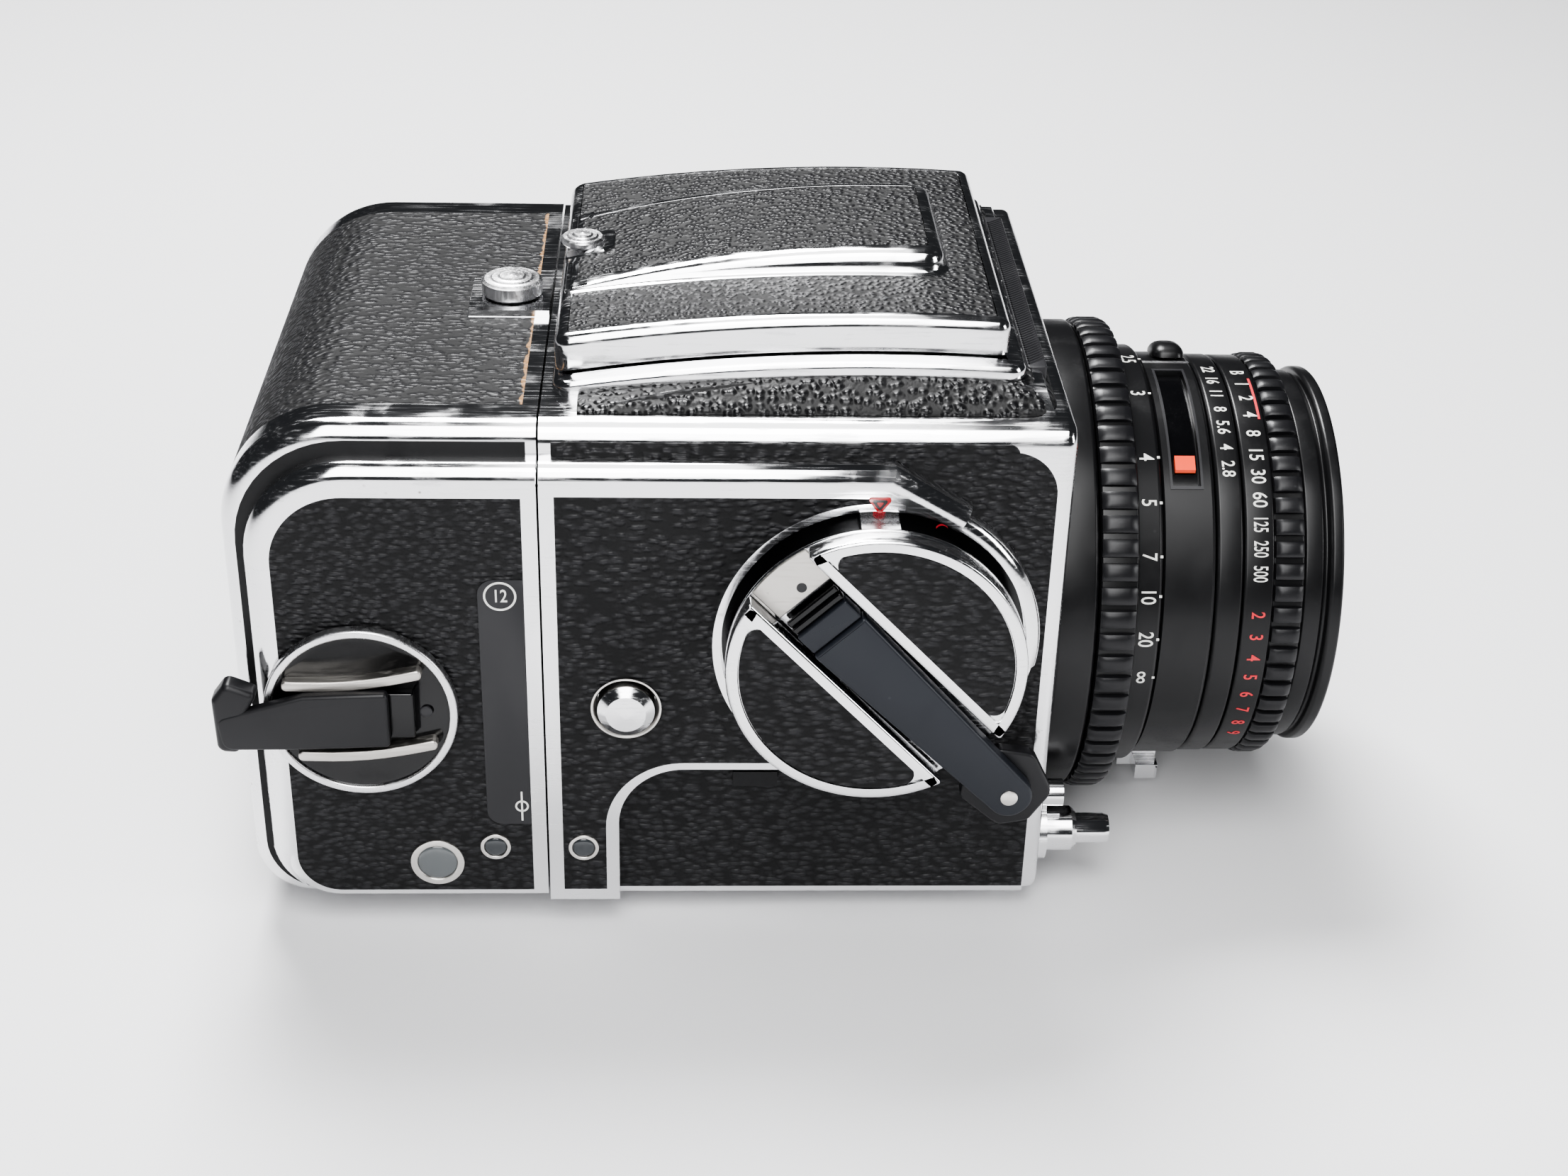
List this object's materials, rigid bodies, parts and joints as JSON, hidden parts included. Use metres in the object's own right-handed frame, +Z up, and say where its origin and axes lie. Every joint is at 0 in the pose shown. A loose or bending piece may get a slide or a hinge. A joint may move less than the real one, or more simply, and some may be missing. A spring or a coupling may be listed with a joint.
{
  "type": "medium format camera",
  "caption": "Modular medium-format single-lens reflex camera with folding waist-level finder, side winding crank, film magazine and one lens.",
  "frame": {"origin": "mouth of the tripod socket, in the lower face of the foot", "axes": "+Z up, the lens looks along -Y, the winding crank is on the -X side"},
  "size_m": [0.1072, 0.1736, 0.1011],
  "materials": {
    "chrome": "satin chrome, polished at the edges",
    "steel": "brushed steel",
    "leather": "pebble-grained black leatherette",
    "black_metal": "black paint, satin",
    "black_anodised": "black anodised, satin",
    "lever_black": "blue-black satin paint",
    "glass": "coated optical glass",
    "mirror": "front-silvered mirror",
    "screen": "finely ground",
    "window": "dark domed glass in a bright ring",
    "label": "dark grey plate with white marks",
    "red": "red enamel",
    "steel_dark": "phosphated steel"
  },
  "bodies": {
    "camera_body": {"body_shell": "chrome", "right_cover": "chrome", "body_leathers": "leather", "front_frame": "chrome", "lens_mount": "chrome", "mirror_box": "black_metal", "screen_frame": "black_metal", "focusing_screen": "screen", "release_collar": "chrome", "signal_windows": "window", "tripod_plate": "black_metal", "base_screws": "steel", "accessory_rail": "chrome", "finder_base": "chrome", "magazine_shell": "chrome", "magazine_cover": "chrome", "magazine_leathers": "leather", "magazine_label": "label", "pressure_plate": "black_metal", "lens_barrel": "black_anodised", "front_barrel": "black_anodised", "front_glass": "glass", "rear_glass": "glass", "shutter_blades": "steel_dark"},
    "winding_crank": {"crank_disc": "chrome", "crank_insets": "leather", "wind_shaft": "steel"},
    "crank_lever": {"crank_lever": "lever_black"},
    "crank_grip": {"crank_grip": "lever_black"},
    "drive_gear": {"drive_gear": "steel"},
    "crank_catch": {"crank_catch": "chrome"},
    "mirror": {"mirror_carrier": "black_metal", "mirror_glass": "mirror"},
    "upper_door": {"upper_door": "black_metal"},
    "lower_door": {"lower_door": "black_metal"},
    "release_button": {"release_button": "chrome"},
    "release_lock": {"release_lock": "chrome"},
    "prerelease_button": {"prerelease_button": "chrome"},
    "time_lever": {"time_lever": "black_metal"},
    "lid": {"finder_lid": "chrome", "lid_leather": "leather"},
    "lid_latch": {"lid_latch": "chrome"},
    "left_flap": {"left_flap": "black_metal"},
    "right_flap": {"right_flap": "black_metal"},
    "rear_flap": {"rear_flap": "black_metal"},
    "magnifier": {"magnifier_arm": "black_metal", "magnifier_lens": "glass"},
    "film_crank": {"film_crank_wheel": "black_metal"},
    "film_handle": {"film_crank_handle": "lever_black"},
    "take_up_spool": {"take_up_spool": "steel"},
    "supply_spool": {"supply_spool": "steel"},
    "dark_slide": {"dark_slide": "chrome"},
    "magazine_catch": {"magazine_catch": "chrome"},
    "insert_key": {"insert_key": "chrome"},
    "focus_ring": {"focus_ring": "black_anodised"},
    "aperture_ring": {"aperture_ring": "black_anodised"},
    "shutter_ring": {"shutter_ring": "black_anodised"},
    "depth_pointer": {"depth_pointer": "red"},
    "sync_lever": {"sync_lever": "chrome"},
    "preview_lever": {"preview_lever": "black_anodised"}
  },
  "joints": [
    {"name": "crank_turn", "type": "hinge", "parent": "camera_body", "child": "winding_crank", "pos_m": [-0.05, -0.0105, 0.0523], "axis": [1, 0, 0], "range_deg": [0, 360]},
    {"name": "drive_gear_turn", "type": "hinge", "parent": "camera_body", "child": "drive_gear", "pos_m": [-0.035, 0.0095, 0.0523], "axis": [1, 0, 0], "range_deg": [-540, 0]},
    {"name": "lever_fold", "type": "hinge", "parent": "winding_crank", "child": "crank_lever", "pos_m": [-0.0539, -0.00121, 0.06209], "axis": [0, 0.7254, -0.6884], "range_deg": [0, 180]},
    {"name": "grip_turn", "type": "hinge", "parent": "crank_lever", "child": "crank_grip", "pos_m": [-0.052, -0.03136, 0.03032], "axis": [1, 0, 0], "continuous": true},
    {"name": "catch_slide", "type": "slide", "parent": "camera_body", "child": "crank_catch", "axis": [0, 0, 1], "range_m": [0, 0.001], "stiffness_N_per_m": 300},
    {"name": "mirror_flip", "type": "hinge", "parent": "camera_body", "child": "mirror", "pos_m": [0, 0.0295, 0.072], "axis": [-1, 0, 0], "range_deg": [0, 45]},
    {"name": "upper_door_turn", "type": "hinge", "parent": "camera_body", "child": "upper_door", "pos_m": [0, 0.0347, 0.069], "axis": [-1, 0, 0], "range_deg": [0, 90]},
    {"name": "lower_door_turn", "type": "hinge", "parent": "camera_body", "child": "lower_door", "pos_m": [0, 0.0347, 0.0145], "axis": [1, 0, 0], "range_deg": [0, 90]},
    {"name": "release_press", "type": "slide", "parent": "camera_body", "child": "release_button", "axis": [0, 1, 0], "range_m": [0, 0.003], "stiffness_N_per_m": 300},
    {"name": "release_lock_turn", "type": "hinge", "parent": "camera_body", "child": "release_lock", "pos_m": [-0.0365, -0.0398, 0.011], "axis": [0, -1, 0], "range_deg": [0, 45]},
    {"name": "prerelease_press", "type": "slide", "parent": "camera_body", "child": "prerelease_button", "axis": [1, 0, 0], "range_m": [0, 0.0012], "stiffness_N_per_m": 300},
    {"name": "time_slide", "type": "slide", "parent": "camera_body", "child": "time_lever", "axis": [0, -1, 0], "range_m": [0, 0.003]},
    {"name": "lid_turn", "type": "hinge", "parent": "camera_body", "child": "lid", "pos_m": [0, -0.0311, 0.0919], "axis": [1, 0, 0], "range_deg": [0, 90]},
    {"name": "latch_slide", "type": "slide", "parent": "lid", "child": "lid_latch", "axis": [1, 0, 0], "range_m": [0, 0.002], "stiffness_N_per_m": 300},
    {"name": "left_flap_turn", "type": "hinge", "parent": "camera_body", "child": "left_flap", "pos_m": [0.0296, 0.0085, 0.09145], "axis": [0, 1, 0], "range_deg": [0, 90]},
    {"name": "right_flap_turn", "type": "hinge", "parent": "camera_body", "child": "right_flap", "pos_m": [-0.0296, 0.0085, 0.09145], "axis": [0, -1, 0], "range_deg": [0, 90]},
    {"name": "rear_flap_turn", "type": "hinge", "parent": "camera_body", "child": "rear_flap", "pos_m": [0, 0.0341, 0.09045], "axis": [-1, 0, 0], "range_deg": [0, 90]},
    {"name": "magnifier_turn", "type": "hinge", "parent": "lid", "child": "magnifier", "pos_m": [0, 0.0019, 0.0929], "axis": [1, 0, 0], "range_deg": [-90, 0]},
    {"name": "film_crank_turn", "type": "hinge", "parent": "camera_body", "child": "film_crank", "pos_m": [-0.049, 0.0655, 0.0413], "axis": [1, 0, 0], "continuous": true},
    {"name": "film_handle_fold", "type": "hinge", "parent": "film_crank", "child": "film_handle", "pos_m": [-0.051, 0.0571, 0.0413], "axis": [0, 0, 1], "range_deg": [0, 160]},
    {"name": "take_up_turn", "type": "hinge", "parent": "camera_body", "child": "take_up_spool", "pos_m": [0, 0.0655, 0.0633], "axis": [1, 0, 0], "continuous": true},
    {"name": "supply_turn", "type": "hinge", "parent": "camera_body", "child": "supply_spool", "pos_m": [0, 0.0655, 0.021], "axis": [1, 0, 0], "continuous": true},
    {"name": "slide_pull", "type": "slide", "parent": "camera_body", "child": "dark_slide", "axis": [1, 0, 0], "range_m": [0, 0.075]},
    {"name": "magazine_catch_slide", "type": "slide", "parent": "camera_body", "child": "magazine_catch", "axis": [1, 0, 0], "range_m": [0, 0.003], "stiffness_N_per_m": 300},
    {"name": "key_turn", "type": "hinge", "parent": "camera_body", "child": "insert_key", "pos_m": [0.045, 0.0625, 0.0435], "axis": [1, 0, 0], "range_deg": [0, 90]},
    {"name": "focus_turn", "type": "hinge", "parent": "camera_body", "child": "focus_ring", "pos_m": [0, -0.0615, 0.0418], "axis": [0, 1, 0], "range_deg": [0, 115]},
    {"name": "aperture_turn", "type": "hinge", "parent": "camera_body", "child": "aperture_ring", "pos_m": [0, -0.0615, 0.0418], "axis": [0, 1, 0], "range_deg": [0, 50]},
    {"name": "shutter_turn", "type": "hinge", "parent": "camera_body", "child": "shutter_ring", "pos_m": [0, -0.0615, 0.0418], "axis": [0, 1, 0], "range_deg": [0, 85]},
    {"name": "depth_pointer_turn", "type": "hinge", "parent": "camera_body", "child": "depth_pointer", "pos_m": [0, -0.0615, 0.0418], "axis": [0, 1, 0], "range_deg": [0, 25]},
    {"name": "sync_turn", "type": "hinge", "parent": "camera_body", "child": "sync_lever", "pos_m": [0, -0.0615, 0.0418], "axis": [0, 1, 0], "range_deg": [-7, 7]},
    {"name": "preview_turn", "type": "hinge", "parent": "camera_body", "child": "preview_lever", "pos_m": [0, -0.0615, 0.0418], "axis": [0, -1, 0], "range_deg": [0, 6]}
  ],
  "couplings": [
    {"joint": "drive_gear_turn", "follows": "crank_turn", "ratio": -1.5},
    {"joint": "upper_door_turn", "follows": "mirror_flip", "ratio": 2},
    {"joint": "lower_door_turn", "follows": "mirror_flip", "ratio": 2},
    {"joint": "left_flap_turn", "follows": "lid_turn", "ratio": 1},
    {"joint": "right_flap_turn", "follows": "lid_turn", "ratio": 1},
    {"joint": "rear_flap_turn", "follows": "lid_turn", "ratio": 1},
    {"joint": "magnifier_turn", "follows": "lid_turn", "ratio": -1},
    {"joint": "take_up_turn", "follows": "film_crank_turn", "ratio": -0.83333},
    {"joint": "depth_pointer_turn", "follows": "aperture_turn", "ratio": 0.5}
  ]
}
